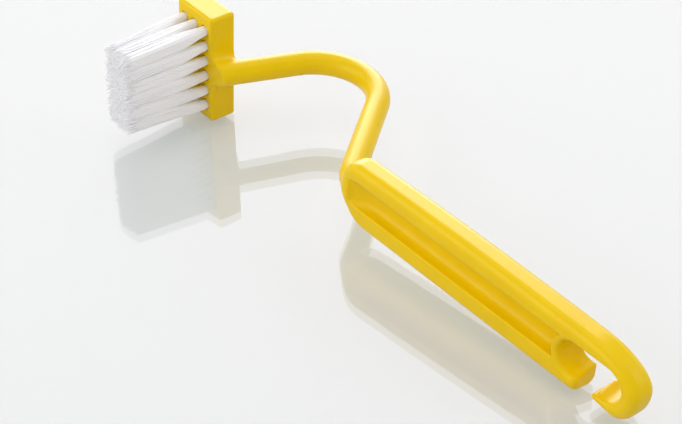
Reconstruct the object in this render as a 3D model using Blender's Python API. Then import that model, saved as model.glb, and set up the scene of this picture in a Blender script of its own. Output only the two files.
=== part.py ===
"""Cleaning brush with a gooseneck: one moulding, eighteen bristle tufts and the anchors that hold them.

The brush is modelled in its own axes, in metres. x runs along the handle from the head to the hook,
z runs up the head, and the bristles point along -y. The head's centre is the origin there.
An empty then lays the whole brush down as it rests on a table: the head stands on its lower end,
and the handle slopes down to it on the lower edge beside the hook.
"""

import math
import random

import bmesh
import bpy
from mathutils import Matrix, Vector

MM = 0.001

# Head block
HEAD_HEIGHT = 37.5 * MM
HEAD_WIDTH = 17.8 * MM
HEAD_THICKNESS = 9.2 * MM
HEAD_EDGE_RADIUS = 0.6 * MM

# Bristle field on the head's front face
TUFT_ROWS = 6
TUFT_COLUMNS = 3
ROW_PITCH = 5.4 * MM
COLUMN_PITCH = 5.25 * MM
HOLE_DIAMETER = 3.6 * MM
HOLE_DEPTH = 6.2 * MM
BRISTLE_LENGTH = 28.5 * MM
LENGTH_SCATTER = 0.6 * MM
TUFT_CLEARANCE = 0.3 * MM
ROOT_RECESS = 0.4 * MM
STRAND_GAP = 0.12 * MM
TUFT_SPREAD = 1.34
FIELD_GATHER_RATIO = 0.9

# Flat wire anchors across the holes, inside the folded tufts
ANCHOR_WIDTH = 4.0 * MM
ANCHOR_HEIGHT = 1.6 * MM
ANCHOR_THICKNESS = 0.4 * MM
ANCHOR_EDGE = 0.06 * MM
ANCHOR_CLEARANCE = 0.3 * MM
FOLD_THICKNESS = 0.9 * MM

# Round neck: a stem beside the head, one bend, a return leg and an elbow into the handle
NECK_DIAMETER = 7.6 * MM
STEM_STANDOFF = 4.05 * MM
NECK_RAISE = 0.4 * MM
STEM_LEAN = math.radians(21.2)
STEM_LENGTH = 21.5 * MM
BEND_RADIUS = 19.1 * MM
RETURN_ANGLE = math.radians(51.8)
RETURN_LENGTH = 39.9 * MM
ELBOW_RADIUS = 11.0 * MM
NECK_TENON = 2.0 * MM

# Handle bar, with a channel in its front face
HANDLE_DEPTH = 8.5 * MM
HANDLE_ABOVE = 11.0 * MM
HANDLE_BELOW = 9.3 * MM
HANDLE_CROWN = 0.6 * MM
HANDLE_LENGTH = 115.0 * MM
HANDLE_EDGE_RADIUS = 2.8 * MM
HEEL_SETBACK = 0.8 * MM
HEEL_SLANT = 3.4 * MM
HEEL_TOP_RADIUS = 7.0 * MM
HEEL_BOTTOM_RADIUS = 10.0 * MM
CHANNEL_DEPTH = 4.0 * MM
CHANNEL_TOP = 6.2 * MM
CHANNEL_BOTTOM = 2.4 * MM
CHANNEL_END_WALL = 2.0 * MM
CHANNEL_CORNER_RADIUS = 1.2 * MM

# Hook at the handle's end
HOOK_BAR = 4.8 * MM
HOOK_TOP_LENGTH = 18.3 * MM
HOOK_NOSE_LENGTH = 7.0 * MM
HOOK_BELOW = 7.9 * MM
HOOK_TIP_BELOW = 7.0 * MM
HOOK_SLOT_RADIUS = 5.5 * MM
HOOK_SLOT_STRAIGHT = 11.2 * MM
HOOK_SLOT_RAISE = 0.95 * MM
HOOK_MOUTH = 5.4 * MM
HOOK_TIP_RADIUS = 1.0 * MM
STUB_LENGTH = 2.1 * MM
PARTITION = 1.7 * MM

# Smoothness of the faceted surfaces
NECK_RESOLUTION = 9
ARC_STEP = math.radians(9.0)
CROWN_STEPS = 8
HANDLE_BEVEL_SEGMENTS = 4
HEAD_BEVEL_SEGMENTS = 3
HOLE_SIDES = 16
WELD_DISTANCE = 0.001 * MM

HEAD_FRONT = -HEAD_THICKNESS / 2
NECK_RADIUS = NECK_DIAMETER / 2

parts = bpy.data.collections.new("cleaning_brush")
cutters = bpy.data.collections.new("cutters")


def clear_scene():
    for item in list(bpy.data.objects):
        bpy.data.objects.remove(item, do_unlink=True)
    bpy.context.scene.collection.children.link(parts)
    bpy.context.scene.collection.children.link(cutters)


def material(name, colour, roughness, metallic=0.0):
    made = bpy.data.materials.new(name)
    made.use_nodes = True
    shader = made.node_tree.nodes["Principled BSDF"]
    shader.inputs["Base Color"].default_value = (*colour, 1.0)
    shader.inputs["Roughness"].default_value = roughness
    shader.inputs["Metallic"].default_value = metallic
    return made


def add_part(name, mesh, finish, parent):
    """Links a mesh as one of the brush's sub-parts."""
    piece = bpy.data.objects.new(name, mesh)
    piece.data.materials.append(finish)
    piece.parent = parent
    parts.objects.link(piece)
    return piece


def add_cutter(name, mesh, parent):
    """Links a mesh that only shapes another one and is left out of the brush."""
    guide = bpy.data.objects.new(name, mesh)
    guide.hide_render = True
    guide.display_type = "WIRE"
    guide.parent = parent
    cutters.objects.link(guide)
    return guide


def combine(piece, other, operation):
    step = piece.modifiers.new(f"{operation.lower()}_{other.name}", "BOOLEAN")
    step.operation = operation
    step.solver = "EXACT"
    step.object = other


def mesh_from(bm, name):
    made = bpy.data.meshes.new(name)
    bm.to_mesh(made)
    bm.free()
    return made


def smooth(mesh, angle=math.radians(30)):
    mesh.shade_smooth()
    mesh.set_sharp_from_angle(angle=angle)


def curve_to_mesh(data, name, flat_caps=False):
    """Turns curve data into a welded mesh, on request with each flat side as one face."""
    holder = bpy.data.objects.new(name, data)
    bpy.context.scene.collection.objects.link(holder)
    graph = bpy.context.evaluated_depsgraph_get()
    made = bpy.data.meshes.new_from_object(holder.evaluated_get(graph))
    bpy.data.objects.remove(holder, do_unlink=True)
    bm = bmesh.new()
    bm.from_mesh(made)
    bmesh.ops.remove_doubles(bm, verts=bm.verts, dist=WELD_DISTANCE)
    if flat_caps:
        bmesh.ops.dissolve_limit(bm, angle_limit=math.radians(0.1), verts=bm.verts, edges=bm.edges)
    bmesh.ops.recalc_face_normals(bm, faces=bm.faces)
    bm.to_mesh(made)
    bm.free()
    return made


def outline_mesh(name, outline, half_depth, centre_y):
    """Extrudes an outline in x and z by half_depth to each side of the plane y = centre_y."""
    data = bpy.data.curves.new(name, "CURVE")
    data.dimensions = "2D"
    data.fill_mode = "BOTH"
    data.extrude = half_depth
    spline = data.splines.new("POLY")
    spline.points.add(len(outline) - 1)
    for point, (x, z) in zip(spline.points, outline):
        point.co = (x, z, 0.0, 1.0)
    spline.use_cyclic_u = True
    made = curve_to_mesh(data, name, flat_caps=True)
    made.transform(Matrix.Translation((0, centre_y, 0)) @ Matrix.Rotation(math.radians(90), 4, "X"))
    return made


def arc(centre, radius_x, radius_z, start, end):
    """Points of an arc of an ellipse in x and z, from one angle to another."""
    steps = max(2, math.ceil(abs(end - start) / ARC_STEP))
    angles = [start + (end - start) * k / steps for k in range(steps + 1)]
    return [(centre[0] + radius_x * math.cos(a), centre[1] + radius_z * math.sin(a)) for a in angles]


def rounded_corner(before, corner, after, radius):
    """Arc that rounds off the corner between two straight edges."""
    c = Vector(corner)
    u = (Vector(before) - c).normalized()
    v = (Vector(after) - c).normalized()
    half = u.angle(v) / 2
    middle = c + (u + v).normalized() * radius / math.sin(half)
    first = c + u * radius / math.tan(half) - middle
    last = c + v * radius / math.tan(half) - middle
    start = math.atan2(first.y, first.x)
    turn = math.atan2(first.x * last.y - first.y * last.x, first.dot(last))
    return arc(middle, radius, radius, start, start + turn)


def bevel_edges(bm, edges, width, segments):
    bmesh.ops.bevel(
        bm, geom=edges, offset=width, segments=segments, profile=0.5, affect="EDGES", clamp_overlap=False
    )


def neck_route():
    """Centre line of the neck in x and y: stem, bend, return leg, elbow and tenon in the handle."""
    heading = math.pi / 2 - STEM_LEAN
    start = Vector((HEAD_WIDTH / 2 + STEM_STANDOFF, 0.0))
    stem = Vector((math.cos(heading), math.sin(heading)))
    overrun = (HEAD_THICKNESS / 2 + NECK_RADIUS) / stem.y
    route = [start - stem * overrun, start, start + stem * STEM_LENGTH]
    centre = route[-1] + Vector((stem.y, -stem.x)) * BEND_RADIUS
    route += turn_right(centre, heading, -RETURN_ANGLE, BEND_RADIUS)
    leg = Vector((math.cos(RETURN_ANGLE), -math.sin(RETURN_ANGLE)))
    corner = route[-1] + leg * RETURN_LENGTH
    setback = ELBOW_RADIUS * math.tan(RETURN_ANGLE / 2)
    route.append(corner - leg * setback)
    centre = route[-1] + Vector((-leg.y, leg.x)) * ELBOW_RADIUS
    steps = max(3, math.ceil(RETURN_ANGLE / ARC_STEP))
    for k in range(1, steps + 1):
        angle = -RETURN_ANGLE * (1 - k / steps)
        route.append(centre + ELBOW_RADIUS * Vector((math.sin(angle), -math.cos(angle))))
    route.append(route[-1] + Vector((NECK_TENON, 0.0)))
    return route, corner


def turn_right(centre, start, end, radius):
    """Points after the first on a right-hand bend, from one heading to another."""
    steps = math.ceil((start - end) / ARC_STEP)
    headings = [start + (end - start) * k / steps for k in range(1, steps + 1)]
    return [centre + radius * Vector((-math.sin(a), math.cos(a))) for a in headings]


def neck_mesh(route):
    """Round bar along the route, cut off flush with the head's front face."""
    data = bpy.data.curves.new("neck", "CURVE")
    data.dimensions = "3D"
    data.bevel_depth = NECK_RADIUS
    data.bevel_resolution = NECK_RESOLUTION
    data.use_fill_caps = True
    spline = data.splines.new("POLY")
    spline.points.add(len(route) - 1)
    for point, place in zip(spline.points, route):
        point.co = (place.x, place.y, NECK_RAISE, 1.0)
    made = curve_to_mesh(data, "neck")
    bm = bmesh.new()
    bm.from_mesh(made)
    middle = (route[0].x + route[-1].x) / 2
    faces = [f for f in bm.faces if all(v.co.x < middle for v in f.verts)]
    edges = {e for f in faces for e in f.edges}
    verts = {v for f in faces for v in f.verts}
    cut = bmesh.ops.bisect_plane(
        bm, geom=list(verts) + list(edges) + faces, plane_co=(0, HEAD_FRONT, 0),
        plane_no=(0, -1, 0), clear_outer=True,
    )
    rim = [e for e in cut["geom_cut"] if isinstance(e, bmesh.types.BMEdge)]
    bmesh.ops.holes_fill(bm, edges=rim)
    bmesh.ops.recalc_face_normals(bm, faces=bm.faces)
    bm.to_mesh(made)
    bm.free()
    return made


def head_mesh():
    bm = bmesh.new()
    size = Matrix.Diagonal((HEAD_WIDTH, HEAD_THICKNESS, HEAD_HEIGHT, 1.0))
    bmesh.ops.create_cube(bm, size=1.0, matrix=size)
    bevel_edges(bm, bm.edges[:], HEAD_EDGE_RADIUS, HEAD_BEVEL_SEGMENTS)
    return mesh_from(bm, "head")


def hook_places(handle_start):
    """Key places along x of the hook, from the handle's end backwards."""
    nose = handle_start + HANDLE_LENGTH
    slot_right = nose - HOOK_BAR - HOOK_SLOT_RADIUS
    slot_left = slot_right - HOOK_SLOT_STRAIGHT
    stub_end = slot_left + STUB_LENGTH
    return nose, slot_left, slot_right, stub_end


def handle_outline(handle_start):
    """Outer outline of the handle bar and the hook, anticlockwise in x and z."""
    nose, _, _, stub_end = hook_places(handle_start)
    lower_heel = (handle_start + HEEL_SLANT, -HANDLE_BELOW)
    upper_heel = (handle_start, HANDLE_ABOVE)
    shoulder = nose - HOOK_TOP_LENGTH
    tip = stub_end + HOOK_MOUTH
    middle = (HANDLE_ABOVE - HOOK_BELOW) / 2
    half_height = (HANDLE_ABOVE + HOOK_BELOW) / 2
    outline = rounded_corner(upper_heel, lower_heel, (stub_end, -HANDLE_BELOW), HEEL_BOTTOM_RADIUS)
    outline += [(stub_end, -HANDLE_BELOW), (tip, -HOOK_TIP_BELOW)]
    outline += arc((nose - HOOK_NOSE_LENGTH, middle), HOOK_NOSE_LENGTH, half_height, -math.pi / 2, 0.0)
    outline += arc((shoulder, middle), HOOK_TOP_LENGTH, half_height, 0.0, math.pi / 2)[1:]
    heel = rounded_corner((shoulder, HANDLE_ABOVE), upper_heel, lower_heel, HEEL_TOP_RADIUS)
    span = shoulder - heel[0][0]
    for k in range(1, CROWN_STEPS):
        share = 1 - k / CROWN_STEPS
        rise = HANDLE_CROWN * math.sin(math.pi * share)
        outline.append((heel[0][0] + span * share, HANDLE_ABOVE + rise))
    return outline + heel


def handle_mesh(handle_start, centre_y):
    """Solid bar over the outline, with its front and back rims rounded."""
    made = outline_mesh("handle", handle_outline(handle_start), HANDLE_DEPTH / 2, centre_y)
    bm = bmesh.new()
    bm.from_mesh(made)
    rims = [e for e in bm.edges if abs(e.verts[0].co.y - e.verts[1].co.y) < HANDLE_DEPTH / 2]
    bevel_edges(bm, rims, HANDLE_EDGE_RADIUS, HANDLE_BEVEL_SEGMENTS)
    bm.to_mesh(made)
    bm.free()
    return made


def channel_mesh(handle_start, centre_y):
    """Cutter for the channel between the two lips of the handle's front face."""
    _, slot_left, _, _ = hook_places(handle_start)
    slope = HEEL_SLANT / (HANDLE_ABOVE + HANDLE_BELOW)

    def heel_x(z):
        return handle_start + slope * (HANDLE_ABOVE - z) + CHANNEL_END_WALL + HEEL_SETBACK

    reach = HOOK_SLOT_RADIUS + PARTITION
    low = math.asin((-CHANNEL_BOTTOM - HOOK_SLOT_RAISE) / reach)
    high = math.asin((CHANNEL_TOP - HOOK_SLOT_RAISE) / reach)
    far_end = arc((slot_left, HOOK_SLOT_RAISE), reach, reach, math.pi - low, math.pi - high)
    near_low = (heel_x(-CHANNEL_BOTTOM), -CHANNEL_BOTTOM)
    near_high = (heel_x(CHANNEL_TOP), CHANNEL_TOP)
    outline = rounded_corner(near_high, near_low, far_end[0], CHANNEL_CORNER_RADIUS)
    outline += far_end
    outline += rounded_corner(far_end[-1], near_high, near_low, CHANNEL_CORNER_RADIUS)
    front = centre_y - HANDLE_DEPTH / 2
    return outline_mesh("channel", outline, CHANNEL_DEPTH, front)


def hook_slot_mesh(handle_start, centre_y):
    """Cutter for the long round-ended eye of the hook."""
    _, slot_left, slot_right, _ = hook_places(handle_start)
    right = arc((slot_right, HOOK_SLOT_RAISE), HOOK_SLOT_RADIUS, HOOK_SLOT_RADIUS, -math.pi / 2, math.pi / 2)
    left = arc((slot_left, HOOK_SLOT_RAISE), HOOK_SLOT_RADIUS, HOOK_SLOT_RADIUS, math.pi / 2, math.pi * 1.5)
    return outline_mesh("hook_slot", right + left, HANDLE_DEPTH, centre_y)


def hook_mouth_mesh(handle_start, centre_y):
    """Cutter for the gap between the stub of the lower lip and the hook's tip."""
    _, _, _, stub_end = hook_places(handle_start)
    tip = stub_end + HOOK_MOUTH
    top = HOOK_SLOT_RAISE
    bottom = -HANDLE_BELOW - HOOK_SLOT_RADIUS
    tip_top = HOOK_SLOT_RAISE - HOOK_SLOT_RADIUS
    outline = [(stub_end, bottom), (tip + HOOK_TIP_RADIUS, bottom)]
    outline += arc((tip + HOOK_TIP_RADIUS, -HOOK_TIP_BELOW + HOOK_TIP_RADIUS), HOOK_TIP_RADIUS, HOOK_TIP_RADIUS,
                   -math.pi / 2, -math.pi)
    outline += arc((tip + HOOK_TIP_RADIUS, tip_top - HOOK_TIP_RADIUS), HOOK_TIP_RADIUS, HOOK_TIP_RADIUS,
                   math.pi, math.pi / 2)
    outline += [(tip + HOOK_TIP_RADIUS, top), (stub_end, top)]
    return outline_mesh("hook_mouth", outline, HANDLE_DEPTH, centre_y)


def tuft_places():
    """Name, x and z of each tuft's hole."""
    for row in range(TUFT_ROWS):
        for column in range(TUFT_COLUMNS):
            x = (column - (TUFT_COLUMNS - 1) / 2) * COLUMN_PITCH
            z = ((TUFT_ROWS - 1) / 2 - row) * ROW_PITCH
            yield f"r{row + 1}_c{column + 1}", x, z


def hole_mesh():
    """Cutter for the blind holes, one cylinder for each tuft."""
    bm = bmesh.new()
    for _, x, z in tuft_places():
        place = Matrix.Translation((x, HEAD_FRONT, z)) @ Matrix.Rotation(math.radians(90), 4, "X")
        bmesh.ops.create_cone(
            bm, cap_ends=True, segments=HOLE_SIDES, radius1=HOLE_DIAMETER / 2,
            radius2=HOLE_DIAMETER / 2, depth=2 * HOLE_DEPTH, matrix=place,
        )
    return mesh_from(bm, "tuft_holes")


def anchor_depth():
    """Depth of an anchor's middle below the head's front face."""
    floor = HOLE_DEPTH - TUFT_CLEARANCE
    return floor - FOLD_THICKNESS - ANCHOR_CLEARANCE - ANCHOR_HEIGHT / 2


def anchor_box(bm, x, z, margin):
    """Flat box across a hole, grown by a margin on every side."""
    size = (ANCHOR_THICKNESS + 2 * margin, ANCHOR_HEIGHT + 2 * margin, ANCHOR_WIDTH + 2 * margin)
    place = Matrix.Translation((x, HEAD_FRONT + anchor_depth(), z)) @ Matrix.Diagonal((*size, 1.0))
    bmesh.ops.create_cube(bm, size=1.0, matrix=place)


def anchor_mesh():
    bm = bmesh.new()
    anchor_box(bm, 0.0, 0.0, 0.0)
    bevel_edges(bm, bm.edges[:], ANCHOR_EDGE, 1)
    return mesh_from(bm, "anchor")


def anchor_pocket_mesh():
    """Cutter for the space that each anchor takes up in its tuft and in the hole's walls."""
    bm = bmesh.new()
    for _, x, z in tuft_places():
        anchor_box(bm, x, z, ANCHOR_CLEARANCE)
    return mesh_from(bm, "anchor_pockets")


def tuft_mesh(name, x, z):
    """Root plug of one tuft with its strands, about the middle of the hole's mouth."""
    seeded = random.Random(name)
    radius = HOLE_DIAMETER / 2 - TUFT_CLEARANCE
    bm = bmesh.new()
    bmesh.ops.create_circle(bm, cap_ends=True, cap_tris=True, segments=6, radius=radius)
    bmesh.ops.subdivide_edges(bm, edges=bm.edges[:], cuts=1, use_grid_fill=True)
    for vertex in bm.verts:
        if vertex.is_boundary:
            vertex.co = vertex.co.normalized() * radius
    tops = bm.faces[:]
    root = bmesh.ops.extrude_face_region(bm, geom=tops, use_keep_orig=True)
    lower = [v for v in root["geom"] if isinstance(v, bmesh.types.BMVert)]
    plug = HOLE_DEPTH - TUFT_CLEARANCE - ROOT_RECESS
    bmesh.ops.translate(bm, verts=lower, vec=(0, 0, -plug))
    bmesh.ops.dissolve_faces(bm, faces=[f for f in root["geom"] if isinstance(f, bmesh.types.BMFace)])
    bmesh.ops.recalc_face_normals(bm, faces=bm.faces)
    bmesh.ops.inset_individual(bm, faces=tops, thickness=STRAND_GAP, use_even_offset=True)
    strands = bmesh.ops.extrude_discrete_faces(bm, faces=tops)["faces"]
    gather = Vector((x, z, 0.0)) * (FIELD_GATHER_RATIO - 1)
    for tip in strands:
        foot = tip.calc_center_median()
        length = BRISTLE_LENGTH + ROOT_RECESS + seeded.uniform(-1, 1) * LENGTH_SCATTER
        place = foot * TUFT_SPREAD + gather + Vector((0, 0, length))
        for vertex in tip.verts:
            vertex.co = place + (vertex.co - foot) * TUFT_SPREAD
    turn = Matrix.Rotation(math.radians(90), 4, "X")
    bmesh.ops.transform(bm, matrix=Matrix.Translation((0, ROOT_RECESS, 0)) @ turn, verts=bm.verts)
    return mesh_from(bm, name)


def build_moulding(finish, parent):
    """Head, neck, handle and hook as one moulding, with the holes and pockets for the tufts."""
    route, corner = neck_route()
    centre_y = corner.y
    handle_start = corner.x - HEEL_SETBACK
    moulding = add_part("moulded_body", handle_mesh(handle_start, centre_y), finish, parent)
    neck = add_cutter("neck_bar", neck_mesh(route), parent)
    head = add_cutter("head_block", head_mesh(), parent)
    combine(moulding, neck, "UNION")
    combine(moulding, head, "UNION")
    shapes = {
        "channel": channel_mesh(handle_start, centre_y),
        "hook_slot": hook_slot_mesh(handle_start, centre_y),
        "hook_mouth": hook_mouth_mesh(handle_start, centre_y),
        "tuft_holes": hole_mesh(),
    }
    for name, mesh in shapes.items():
        combine(moulding, add_cutter(name, mesh, parent), "DIFFERENCE")
    pockets = add_cutter("anchor_pockets", anchor_pocket_mesh(), parent)
    combine(moulding, pockets, "DIFFERENCE")
    smooth(moulding.data)
    return pockets, handle_start


def build_tufts(nylon, steel, parent, pockets):
    """A tuft and its anchor in every hole."""
    anchor = anchor_mesh()
    for name, x, z in tuft_places():
        tuft = add_part(f"tuft_{name}", tuft_mesh(f"tuft_{name}", x, z), nylon, parent)
        tuft.location = (x, HEAD_FRONT, z)
        combine(tuft, pockets, "DIFFERENCE")
        piece = add_part(f"anchor_{name}", anchor.copy(), steel, parent)
        piece.location = (x, 0.0, z)


def rest_on_table(stand, handle_start):
    """Tips the brush until it lies on the head's lower edge and the stub's, over its own middle."""
    _, _, _, stub_end = hook_places(handle_start)
    head_x = HEAD_WIDTH / 2 - HEAD_EDGE_RADIUS
    head_z = -HEAD_HEIGHT / 2 + HEAD_EDGE_RADIUS
    fall = head_z + HANDLE_BELOW
    run = stub_end - head_x
    tilt = math.asin(HEAD_EDGE_RADIUS / math.hypot(fall, run)) - math.atan2(fall, run)
    stand.rotation_euler = (0.0, tilt, 0.0)
    bpy.context.view_layer.update()
    graph = bpy.context.evaluated_depsgraph_get()
    corners = []
    for piece in parts.objects:
        if piece.type == "MESH":
            seen = piece.evaluated_get(graph)
            corners += [seen.matrix_world @ v.co for v in seen.data.vertices]
    low = [min(c[k] for c in corners) for k in range(3)]
    high = [max(c[k] for c in corners) for k in range(3)]
    stand.location = (-(low[0] + high[0]) / 2, -(low[1] + high[1]) / 2, -low[2])


def build():
    clear_scene()
    stand = bpy.data.objects.new("resting_pose", None)
    parts.objects.link(stand)
    plastic = material("yellow_plastic", (0.80, 0.56, 0.01), 0.28)
    nylon = material("white_nylon", (0.86, 0.86, 0.90), 0.45)
    steel = material("anchor_steel", (0.60, 0.60, 0.62), 0.35, 1.0)
    pockets, handle_start = build_moulding(plastic, stand)
    build_tufts(nylon, steel, stand, pockets)
    rest_on_table(stand, handle_start)


build()
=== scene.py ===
import math

import bpy
import numpy as np
from mathutils import Matrix, Vector


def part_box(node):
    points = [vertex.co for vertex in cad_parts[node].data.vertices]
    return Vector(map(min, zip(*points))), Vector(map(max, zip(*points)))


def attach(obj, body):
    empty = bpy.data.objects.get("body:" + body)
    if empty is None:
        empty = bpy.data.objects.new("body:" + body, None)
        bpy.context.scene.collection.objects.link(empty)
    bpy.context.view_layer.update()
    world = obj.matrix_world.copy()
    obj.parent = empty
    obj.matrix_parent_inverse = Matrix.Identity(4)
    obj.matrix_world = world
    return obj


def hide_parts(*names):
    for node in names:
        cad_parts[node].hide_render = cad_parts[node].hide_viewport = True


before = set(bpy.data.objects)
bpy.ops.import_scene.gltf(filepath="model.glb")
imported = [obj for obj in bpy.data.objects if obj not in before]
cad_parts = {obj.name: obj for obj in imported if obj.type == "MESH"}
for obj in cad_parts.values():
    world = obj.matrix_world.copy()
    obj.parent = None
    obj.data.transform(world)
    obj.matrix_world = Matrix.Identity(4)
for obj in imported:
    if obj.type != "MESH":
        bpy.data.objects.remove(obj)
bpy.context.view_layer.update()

# Sizes are in millimetres, in the brush's own axes: x along the handle, z up the head,
# bristles along -y, and the origin in the middle of the head.
MM = 0.001

# Head, its tuft holes and the wire anchors in them
HEAD_SIZE = (17.8, 9.2, 37.5)
HEAD_EDGE_RADIUS = 1.15
HEAD_FRONT = -HEAD_SIZE[1] / 2
TUFT_ROWS = 6
TUFT_COLUMNS = 3
ROW_PITCH = 5.4
COLUMN_PITCH = 5.25
HOLE_RADIUS = 1.8
HOLE_DEPTH = 6.2
HOLE_RIM = 0.3
ANCHOR_SIZE = (0.4, 1.6, 4.0)
ANCHOR_CLEARANCE = 0.3
ANCHOR_DEPTH = 3.9
POCKET_EDGE_RADIUS = 0.05

# Filaments. A share runs along a tuft, from 0 at its root to 1 at its tips.
RIM_LOOPS = 18
TIP_FILAMENTS = 140
FILAMENT_RADIUS = 0.15
FILAMENT_SIDES = 7
ROOT_RADIUS = 1.42
FILAMENT_LENGTH = 28.5
LENGTH_SCATTER = 1.2
MEETING_SHARE = 0.24
MEETING_POWER = 1.7
SQUARENESS = 0.24
FIELD_TIP = (5.25, 13.1)
STRAY = 0.42
RIM_STEPS = 10
RIM_CROWDING = 1.2
RIM_ANGLE_SCATTER = 0.05
SWAY = 0.07
SWAY_WAVES = 5
FOLD_STEPS = 5
FOLD_DEPTH = 0.25
FOLD_DEPTH_GAIN = 0.45
FOLD_OFFSET = FILAMENT_RADIUS * 1.4
TIP_FIELD = 0.98
TIP_ANGLE_SCATTER = 0.1
TIP_OVERLAP = 0.06
CORE_SHARE = 0.955
CORE_SIDES = 40
CORE_STEPS = 12
CORE_CROWDING = 1.3
CORE_STRAIGHT_END = 0.03
# Rounded end of the core: how far each ring lies before its end, and its share of the full width
CORE_END = ((0.018, 0.99), (0.008, 0.96), (0.0, 0.88))

# Neck
NECK_RADIUS = 3.8
NECK_RAISE = 0.4
NECK_RIM = 0.9
STEM_START = HEAD_SIZE[0] / 2 + 4.05
STEM_LEAN = math.radians(21.2)
STEM_LENGTH = 21.5
BEND_RADIUS = 19.1
RETURN_ANGLE = math.radians(51.8)
RETURN_LENGTH = 39.9
ELBOW_RADIUS = 11.0
NECK_TENON = 2.0
STEM_FILLET = 4.2
ELBOW_FILLET = 3.0

# Handle bar and its channel
HANDLE_DEPTH = 8.5
HANDLE_ABOVE = 11.0
HANDLE_BELOW = 9.3
HANDLE_CROWN = 0.6
HANDLE_LENGTH = 115.0
HANDLE_EDGE_RADIUS = 2.8
HEEL_SETBACK = 0.8
HEEL_SLANT = 3.4
HEEL_TOP_RADIUS = 7.0
HEEL_BOTTOM_RADIUS = 10.0
CHANNEL_DEPTH = 4.0
CHANNEL_TOP = 6.2
CHANNEL_BOTTOM = 2.4
CHANNEL_END_WALL = 2.0
CHANNEL_CORNER_RADIUS = 1.2
LIP_RIM = 0.4
CHANNEL_FILLET = 3.0
CHANNEL_RAMP = 0.5
RAMP_FILLET = 2.0

# Hook, with its eye and mouth, and the stub beside the mouth
HOOK_BAR = 4.8
HOOK_TOP_LENGTH = 18.3
HOOK_NOSE_LENGTH = 7.0
HOOK_BELOW = 7.9
HOOK_TIP_BELOW = 7.0
HOOK_SLOT_RADIUS = 5.5
HOOK_SLOT_STRAIGHT = 11.2
HOOK_SLOT_RAISE = 0.95
HOOK_MOUTH = 5.4
HOOK_TIP_RADIUS = 1.0
STUB_LENGTH = 2.1
STUB_RIM_FRONT = 2.2
STUB_RIM_BACK = 0.7
TIP_RIM = 1.2
PARTITION = 1.7
EYE_RIM_FRONT = 1.6
EYE_RIM_BACK = 0.4
EYE_TAPER = 1.4

# Meshing of the moulded body
CELL = 0.32
SLAB = 24
MESH_MARGIN = 1
SETTLE_ROUNDS = 3
SLOPE_STEP = 0.01
LEAST_SLOPE = 0.25
ARC_STEP = math.radians(2.5)
CROWN_STEPS = 16

# Colours and roughness, each from its darkest or smoothest to its palest or roughest
TINT_RANGE = (0.3, 0.7)
YELLOW = ((0.845, 0.562, 0.0), (0.89, 0.602, 0.0))
YELLOW_ROUGHNESS = (0.24, 0.34)
YELLOW_IOR = 1.41
YELLOW_SPECULAR = 0.3
NYLON = ((0.96, 0.955, 0.975), (0.985, 0.98, 1.0))
NYLON_ROUGHNESS = (0.28, 0.45)
NYLON_IOR = 1.53
STEEL = ((0.50, 0.50, 0.52), (0.66, 0.66, 0.68))
STEEL_ROUGHNESS = (0.25, 0.40)

# Painted light: a yellow tint on the inner roots of the tufts that stands in for light bounced
# through the nylon. Where it starts and where it is full, along each axis
ROOT_PAINTED_LIGHT = (0.98, 0.78, 0.08, 1.0)
ROOT_PAINTED_LIGHT_FADES = (("Y", HEAD_FRONT - 11.0, HEAD_FRONT - 4.0),
                   ("X", COLUMN_PITCH + 0.3, COLUMN_PITCH - 0.7),
                   ("Z", ROW_PITCH * 2 + 0.6, ROW_PITCH * 2 - 0.6))

# Camera in the brush's axes, in millimetres, and the picture's width in pixels
CAMERA_PLACE = Vector((374.30, -267.23, 291.46))
CAMERA_FORWARD = Vector((-0.59814, 0.52179, -0.60824))
CAMERA_UP = Vector((-0.48958, 0.36297, 0.79282))
PICTURE_WIDTH = 682
FOCAL_PIXELS = 1713.8
SENSOR_WIDTH = 36.0
CAMERA_CLIP = (0.01, 20.0)

# Table: clear glass with a weak mirror on both faces, over a pale base
GLASS_THICKNESS = 1.55
GLASS_MIRROR = 0.095
BASE_MIRROR = 0.105
MIRROR_TINT = (1.0, 0.92, 0.98, 1.0)
MIRROR_ROUGHNESS = 0.025
BASE_WHITE = (0.85, 0.85, 0.85, 1.0)
BASE_TONE = 0.391
BASE_TONE_TINT = (0.92, 0.985, 0.945, 1.0)
BASE_SHADE = 0.40
BASE_SHADE_TINT = (0.97, 1.01, 0.99)
BASE_BELOW = 0.05
FLOOR_SIZE = 3000.0

# World: its strength on the far side, the near side, half-way up and overhead, and where they meet
WORLD_AWAY = 0.4
WORLD_NEAR = 0.50
WORLD_MID = 0.1
WORLD_TOP = 1.2
WORLD_SIDE_FADE = (-0.3, 0.3)
WORLD_TOP_FADE = (0.80, 0.95)
WORLD_RISE_FADE = (0.45, 0.75)

# Lamps, in metres: parts of the direction that lead away from the camera, to the left and up, then
# distance, width, height and radiance
PANELS = (
    ("panel_behind", (0.90, 0.0, 0.45), 1.5, 2.2, 1.3, 1.5),
    ("panel_gloss", (0.91, 0.0, 0.42), 1.5, 1.0, 1.3, 5.3),
    ("panel_left", (-0.12, 0.82, 0.46), 1.3, 1.4, 0.9, 1.8),
    ("panel_right", (0.2, -0.82, 0.5), 1.3, 1.2, 0.9, 1.4),
    ("panel_front", (-0.79, 0.0, 0.61), 1.3, 0.8, 0.8, 1.5),
)


def box_middle(box):
    return Vector([(box[0][k] + box[1][k]) / 2 for k in range(3)])


def brush_to_world():
    """Places the brush's axes in the CAD frame, from the anchors at three corners of the head."""
    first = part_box("anchor_r1_c1")
    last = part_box("anchor_r6_c3")
    middle = [sum(corner[k] for corner in (*first, *last)) / 4 for k in range(3)]
    head = Vector(middle) - Vector((0, HEAD_FRONT + ANCHOR_DEPTH, 0)) * MM
    up = (box_middle(first) - box_middle(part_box("anchor_r6_c1"))).normalized()
    tilt = math.atan2(up.x, up.z)
    return Matrix.Translation(head) @ Matrix.Rotation(tilt, 4, "Y") @ Matrix.Scale(MM, 4)


# Outlines and distances. A distance is negative inside a shape and positive outside it.

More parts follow.
